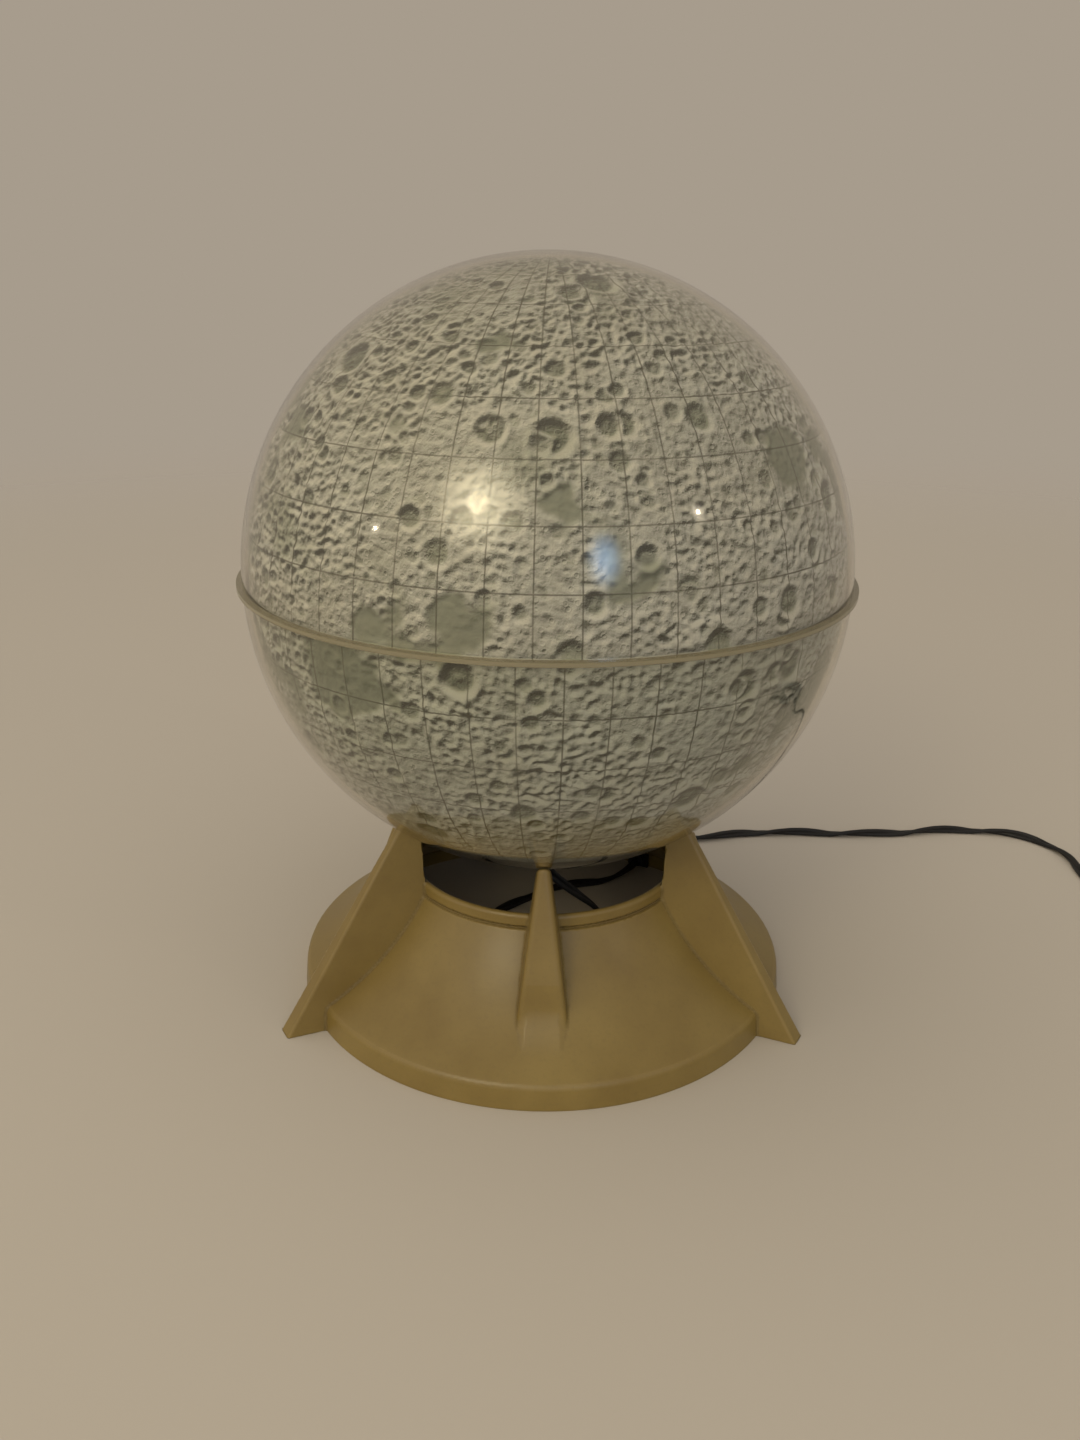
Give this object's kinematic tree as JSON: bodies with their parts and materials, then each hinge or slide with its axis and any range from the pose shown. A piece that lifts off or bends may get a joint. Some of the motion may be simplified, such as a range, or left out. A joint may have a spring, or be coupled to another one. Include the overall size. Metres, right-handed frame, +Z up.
{
  "type": "table lamp",
  "caption": "Globe lamp: a relief moon sealed inside a clear two-part globe, resting on a flared stand with tall fins, fed by a black twisted flex.",
  "frame": {"origin": "on the table, under the centre of the globe", "axes": "+Z up through the globe's poles, -Y towards the viewer (front wedge), +X to the right, the side where the flex leaves"},
  "size_m": [0.6377, 0.3246, 0.3824],
  "materials": {
    "stand_plastic": "satin moulded, khaki",
    "clear_plastic": "clear, polished",
    "moon_print": "printed relief sheet",
    "collar_plastic": "moulded, black",
    "flex_pvc": "satin, black",
    "fitting_plastic": "moulded, black",
    "wheel_plastic": "moulded, ivory",
    "steel_plate": "zinc plated",
    "spring_steel": "bright",
    "nickel": "nickel plated",
    "brass": "bright",
    "socket_porcelain": "glazed, white",
    "bulb_glass": "clear",
    "black_glass": "opaque, glossy",
    "solder": "dull",
    "tungsten": "dull"
  },
  "bodies": {
    "base": {"base_shell": "stand_plastic", "flex_sleeve": "flex_pvc", "flex_inside": "flex_pvc", "flex_free": "flex_pvc", "switch_case_lower": "fitting_plastic", "switch_case_upper": "fitting_plastic", "switch_screw": "nickel", "switch_contacts": "brass", "flex_to_coil": "flex_pvc", "flex_coil": "flex_pvc", "flex_tail": "flex_pvc", "plug_body": "flex_pvc", "plug_blades": "nickel"},
    "switch_wheel": {"switch_wheel": "wheel_plastic"},
    "lamp_unit": {"holder_flange": "steel_plate", "flex_grommet": "flex_pvc", "terminal_cup": "fitting_plastic", "holder_rivets": "steel_plate", "spring_clips": "spring_steel", "socket_body": "socket_porcelain", "screw_shell": "brass", "centre_contact": "brass", "terminal_screws": "brass", "bulb_glass": "bulb_glass", "bulb_cap": "nickel", "bulb_insulator": "black_glass", "bulb_tip": "solder", "bulb_stem": "bulb_glass", "bulb_wires": "nickel", "bulb_filament": "tungsten"},
    "globe": {"clear_dome_north": "clear_plastic", "clear_dome_south": "clear_plastic", "moon_shell_north": "moon_print", "moon_shell_south": "moon_print", "south_collar": "collar_plastic"}
  },
  "joints": [
    {"name": "globe_lift", "type": "slide", "parent": "base", "child": "lamp_unit", "axis": [0, 0, 1], "range_m": [0, 0.035]},
    {"name": "globe_turn", "type": "hinge", "parent": "lamp_unit", "child": "globe", "pos_m": [0, 0, 0.23], "axis": [0, 0, 1], "continuous": true},
    {"name": "switch_turn", "type": "hinge", "parent": "base", "child": "switch_wheel", "pos_m": [0.425, 0.0751, 0.0065], "axis": [0, 0, 1], "continuous": true}
  ]
}
